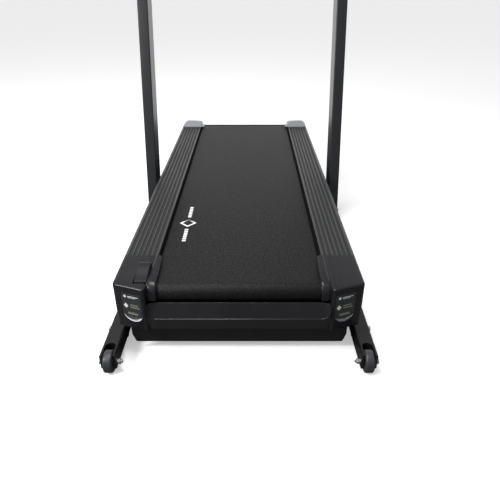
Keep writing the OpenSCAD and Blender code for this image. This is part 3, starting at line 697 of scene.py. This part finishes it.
def sidePlate(side):  # a plate with a round foot, a tapering painted highlight along it, and plain printed bars
    p = plateShape
    low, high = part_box("side_plate_right")
    half = p["half"]
    along = np.array([math.cos(p["turn"]), math.sin(p["turn"])])
    out = np.array([math.sin(p["turn"]), -math.cos(p["turn"])])

    def place(u, v, w):  # u across the face, v down from the plate's top, w out of the face
        x = p["middleX"] + u * along[0] + w * out[0]
        y = zeroY + p["middleY"] + u * along[1] + w * out[1]
        return np.stack([side * x, y, high.z - v], 1)

    tall = high.z - low.z
    centre = tall - p["foot"]
    angle = np.linspace(0.08, np.pi - 0.08, 25)
    foot = np.stack([np.minimum(p["foot"] * np.cos(angle), half), centre + p["foot"] * np.sin(angle)], 1)
    top = roundPath([[-half, centre], [-half, 0], [half, 0], [half, centre]], [3 * mm, 3 * mm], 4)
    outline = np.concatenate([foot, top])
    name = "Right" if side > 0 else "Left"
    plate = flatShapes("cornerPlate" + name, [outline], -p["sunk"], p["thick"] + p["sunk"], place)
    node = "side_plate_right" if side > 0 else "side_plate_left"
    dress(plate, "machine", "label_plate", look["plate"], node)
    # painted highlight: a near-white crescent, widest at the bottom of the foot, tapering up both sides
    span = math.radians(p["rimSpan"])
    a = np.linspace(np.pi / 2 - span, np.pi / 2 + span, 33)
    wide = p["rim"] * np.cos((a - np.pi / 2) / span * np.pi / 2) ** 0.7 + 0.3 * mm
    outer = np.stack([p["foot"] * np.cos(a), centre + p["foot"] * np.sin(a)], 1)
    inner = np.stack([(p["foot"] - wide) * np.cos(a), centre + (p["foot"] - wide) * np.sin(a)], 1)[::-1]
    rim = flatShapes("brightRim" + name, [np.concatenate([outer, inner])], p["thick"], p["rimThick"], place)
    dress(rim, "machine", "label_plate", look["rim"])
    lead = -1 if side < 0 else 1  # both plates are printed the same way round
    spot = np.linspace(0, 2 * np.pi, 12, endpoint=False)
    marks = [bar(-10 * mm, 7 * mm, 20 * mm, 9 * mm), bar(-10 * mm, 11 * mm, 12 * mm, 12.4 * mm),
             np.stack([-18 * mm + 4 * mm * np.cos(spot), 9 * mm + 4 * mm * np.sin(spot)], 1),
             [(-18 * mm, 30 * mm), (-11 * mm, 38 * mm), (-18 * mm, 46 * mm), (-25 * mm, 38 * mm)]]
    fields = [bar(-6 * mm, 32 * mm, 18 * mm, 36 * mm), bar(-6 * mm, 39 * mm, 22 * mm, 43 * mm),
              bar(-15 * mm, 58 * mm, 15 * mm, 65 * mm)]
    for word, shapes, ink in (("plateMarks", marks, "print"), ("plateFields", fields, "printGrey")):
        shapes = [np.asarray(shape, float) * [lead, 1] for shape in shapes]
        printed = flatShapes(word + name, shapes, p["thick"], p["ink"], place)
        dress(printed, "machine", "label_plate", look[ink])


for side in (1, -1):
    sidePlate(side)
print("plates made")

# transport wheels
wheelShape = dict(shoulder=5.5 * mm, web=2.2 * mm, rim=6 * mm, hub=9 * mm, bore=4.2 * mm)


def transportWheel(side):  # a turned section: round shoulders on the tread, dished sides and a raised hub
    w = wheelShape
    node = "wheel_right" if side > 0 else "wheel_left"
    low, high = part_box(node)
    radius, half = (high.z - low.z) / 2, (high.x - low.x) / 2
    turn = np.linspace(np.pi / 2, 0, 7)
    shoulder = np.stack([half - w["shoulder"] + w["shoulder"] * np.cos(turn),
                         radius - w["shoulder"] + w["shoulder"] * np.sin(turn)], 1)
    crown = np.array([[0, radius]])
    dish = np.array([[half, radius - w["rim"] - 2 * mm], [half - 0.6 * mm, radius - w["rim"] - 3 * mm],
                     [half - w["web"], radius - w["rim"] - 4.5 * mm], [half - w["web"], w["hub"] + 1 * mm],
                     [half - 0.6 * mm, w["hub"]], [half, w["hub"] - 0.6 * mm], [half, w["bore"]]])
    right = np.concatenate([shoulder, dish])
    left = right[::-1] * [-1, 1]
    piece = turned("transportWheel" + ("Right" if side > 0 else "Left"), np.concatenate([crown, right, left]),
                   middle(node), 72)
    tidyMesh(piece, 40)
    return dress(piece, node, "wheel_rubber", look["tyre"], node)


for side in (1, -1):
    transportWheel(side)
print("wheels made")

# marks on the console
consoleShape = dict(tilt=math.radians(50), lensTop=2.55 * mm, knobTop=16.25 * mm, thick=0.15 * mm)


def onConsole(node, lift):  # u across, v up the console's face, w out of it, from a node's middle
    centre, tilt = middle(node), consoleShape["tilt"]

    def place(u, v, w):
        y = centre[1] + v * math.cos(tilt) - (w + lift) * math.sin(tilt)
        z = centre[2] + v * math.sin(tilt) + (w + lift) * math.cos(tilt)
        return np.stack([centre[0] + u, y, z], 1)
    return place


def readout(u, v, tall, wide, line):  # seven bars that make a digit
    levels, edge = [v, v + tall / 2, v + tall], line / 2
    shapes = [bar(u + line, level - edge, u + wide - line, level + edge) for level in levels]
    for left in (u, u + wide - line):
        shapes += [bar(left, low + edge, left + line, high - edge) for low, high in zip(levels, levels[1:])]
    return shapes


digits = [shape for u in (-66, -50, -26, -10, 14, 30, 46) for shape in
          readout(u * mm, -12 * mm, 22 * mm, 11 * mm, 1.8 * mm)]
digits += [bar(-66 * mm, 16 * mm, -39 * mm, 18 * mm), bar(-26 * mm, 16 * mm, 1 * mm, 18 * mm),
           bar(14 * mm, 16 * mm, 57 * mm, 18 * mm)]
display = flatShapes("displayDigits", digits, 0.05 * mm, consoleShape["thick"],
                     onConsole("display_lens", consoleShape["lensTop"]))
dress(display, "machine", "display_window", look["printGrey"])
pointer = flatShapes("knobPointer", [bar(-1 * mm, 4 * mm, 1 * mm, 15 * mm)], 0.05 * mm, consoleShape["thick"],
                     onConsole("resistance_knob", consoleShape["knobTop"]))
dress(pointer, "knob", "console_plastic", look["print"])
print("console marked")

# carried-over nodes with rounded edges
softNodes = dict(
    frame_steel=("base_beam_left", "base_beam_right", "base_cross_rear", "base_cross_middle",
                 "base_cross_front", "deck_stands", "deck_frame_left", "deck_frame_right", "deck_cross_rear",
                 "deck_cross_middle", "deck_cross_front", "front_bracket_left", "front_bracket_right"),
    upright_steel=("upright_left", "upright_right", "console_bar", "handrail_left", "handrail_right"),
    cover_plastic=("beam_plugs", "front_guard"),
    cap_plastic=("front_cap_left", "front_cap_right"),
    black_bolt=("upright_bolts",),
    zinc_steel=("beam_bolts",),
    console_plastic=("console_back", "console_front"),
)
slotLook = dict(cap_plastic="endCap", frame_steel="frame", upright_steel="upright", cover_plastic="cover",
                rail_profile="rail", belt_rubber="belt", wheel_rubber="tyre", foot_rubber="foot",
                zinc_steel="zinc", roller_steel="roller", black_bolt="oxide", deck_wood="board",
                label_plate="plate", grip_foam="foam", console_plastic="console", display_window="window",
                key_rubber="key")
for slot, names in softNodes.items():
    for name in names:
        softCopy(name, "machine", slot, look[slotLook[slot]], 1 * mm)
slotOf = {part["node"]: part["material_slot"] for part in frame["record"]["subparts"]}
for name, node in frame["nodes"].items():  # every carried-over node gets its finish
    node.data.materials.clear()
    node.data.materials.append(look[slotLook[slotOf[name]]])
print("frame parts dressed")

# stage, lights and camera
stageShape = dict(half=30.0, glow=0.42, seen="#f7f7f7", bounce="#747474", farGlow=1.3, farFrom=0.9, farTo=2.2)


def paintedFloor():  # matt white paint, bright to the eye and duller to the machine, brighter far ahead
    material, tree, shader = newMaterial("mattWhitePaint", stageShape["bounce"], 0.9)
    shader.inputs["Specular IOR Level"].default_value = 0.0
    white = addNode(tree, "BsdfDiffuse", None, Color=hexColour(stageShape["seen"]))
    glow = addNode(tree, "Emission", None, Color=(1, 1, 1, 1), Strength=stageShape["glow"])
    both = addNode(tree, "AddShader", None, in0=(white, 0), in1=(glow, 0))
    place = addNode(tree, "TexCoord")
    split = addNode(tree, "SeparateXYZ", None, Vector=(place, "Object"))
    rise = ramp(tree, (split, 1), 0.0, stageShape["farGlow"], stageShape["farFrom"], stageShape["farTo"])
    farLight = addNode(tree, "Emission", None, Color=(1, 1, 1, 1), Strength=(rise, 0))
    bounce = addNode(tree, "AddShader", None, in0=(shader, 0), in1=(farLight, 0))
    eye = addNode(tree, "LightPath")
    mixed = addNode(tree, "MixShader", None, Fac=(eye, "Is Camera Ray"), in1=(bounce, 0), in2=(both, 0))
    tree.links.new(mixed.outputs[0], tree.nodes["Material Output"].inputs["Surface"])
    return material


floorMesh = bpy.data.meshes.new("floor")
floorCorners = [(u * stageShape["half"], v * stageShape["half"], 0) for u, v in bar(-1, -1, 1, 1)]
floorMesh.from_pydata(floorCorners, [], [(0, 1, 2, 3)])
floor = bpy.data.objects.new("floor", floorMesh)
bpy.context.scene.collection.objects.link(floor)
floor.data.materials.append(paintedFloor())

bpy.context.scene.view_settings.view_transform = "Standard"
world = bpy.data.worlds.new("studio")
bpy.context.scene.world = world
world.use_nodes = True
sky = world.node_tree
studio = dict(wall=0.24, ceiling=0.5, low=0.35, high=0.75, behind=1.3)  # brightness; heights where it rises
aim = addNode(sky, "TexCoord")
height = addNode(sky, "SeparateXYZ", None, Vector=(aim, "Generated"))
glow = addNode(sky, "MapRange", {"interpolation_type": "SMOOTHSTEP"}, Value=(height, 2),
               From_Min=studio["low"], From_Max=studio["high"], To_Min=studio["wall"],
               To_Max=studio["ceiling"])
ahead = ramp(sky, (height, 1), 0.0, 1.0, 0.5, 0.95)  # a bright wall ahead of the walker, below the ceiling
below = ramp(sky, (height, 2), 1.0, 0.0, 0.26, 0.42)
both = addNode(sky, "Math", {"operation": "MULTIPLY"}, in0=(ahead, 0), in1=(below, 0))
lit = addNode(sky, "Math", {"operation": "MULTIPLY_ADD"}, in0=(both, 0), in1=studio["behind"], in2=(glow, 0))
eye = addNode(sky, "LightPath")  # the backdrop itself is plain white
shown = addNode(sky, "Mix", {"data_type": "FLOAT"}, in0=(eye, "Is Camera Ray"), in2=(lit, 0), in3=1.0)
sky.links.new(shown.outputs[0], sky.nodes["Background"].inputs["Strength"])
sky.nodes["Background"].inputs["Color"].default_value = (1, 1, 1, 1)

lights = dict(
    key=dict(place=(-2.2, -1.9, 2.4), aim=(-0.2, -0.6, 0.2), size=(0.9, 0.9), power=90),
    overhead=dict(place=(-0.4, -0.5, 3.0), aim=(0.0, -0.3, 0.2), size=(1.6, 0.5), power=48),
)


def areaLight(name, place, aim, size, power):
    data = bpy.data.lights.new(name, "AREA")
    data.shape, data.size, data.size_y, data.energy = "RECTANGLE", size[0], size[1], power
    lamp = bpy.data.objects.new(name, data)
    bpy.context.scene.collection.objects.link(lamp)
    lamp.location = place
    away = np.array(place) - np.array(aim)
    tip = math.atan2(math.hypot(away[0], away[1]), away[2])
    lamp.rotation_euler = (tip, 0, math.atan2(away[0], -away[1]))


for name, settings in lights.items():
    areaLight(name, **settings)

cameraSet = dict(place=(0.0291, -1.7413, 0.8969), down=29.83, lens=34.06)
cameraData = bpy.data.cameras.new("camera")
cameraData.sensor_width, cameraData.lens = 36, cameraSet["lens"]
camera = bpy.data.objects.new("camera", cameraData)
bpy.context.scene.collection.objects.link(camera)
camera.location = cameraSet["place"]
camera.rotation_euler = (math.radians(90 - cameraSet["down"]), 0, 0)
bpy.context.scene.camera = camera
print("stage ready")
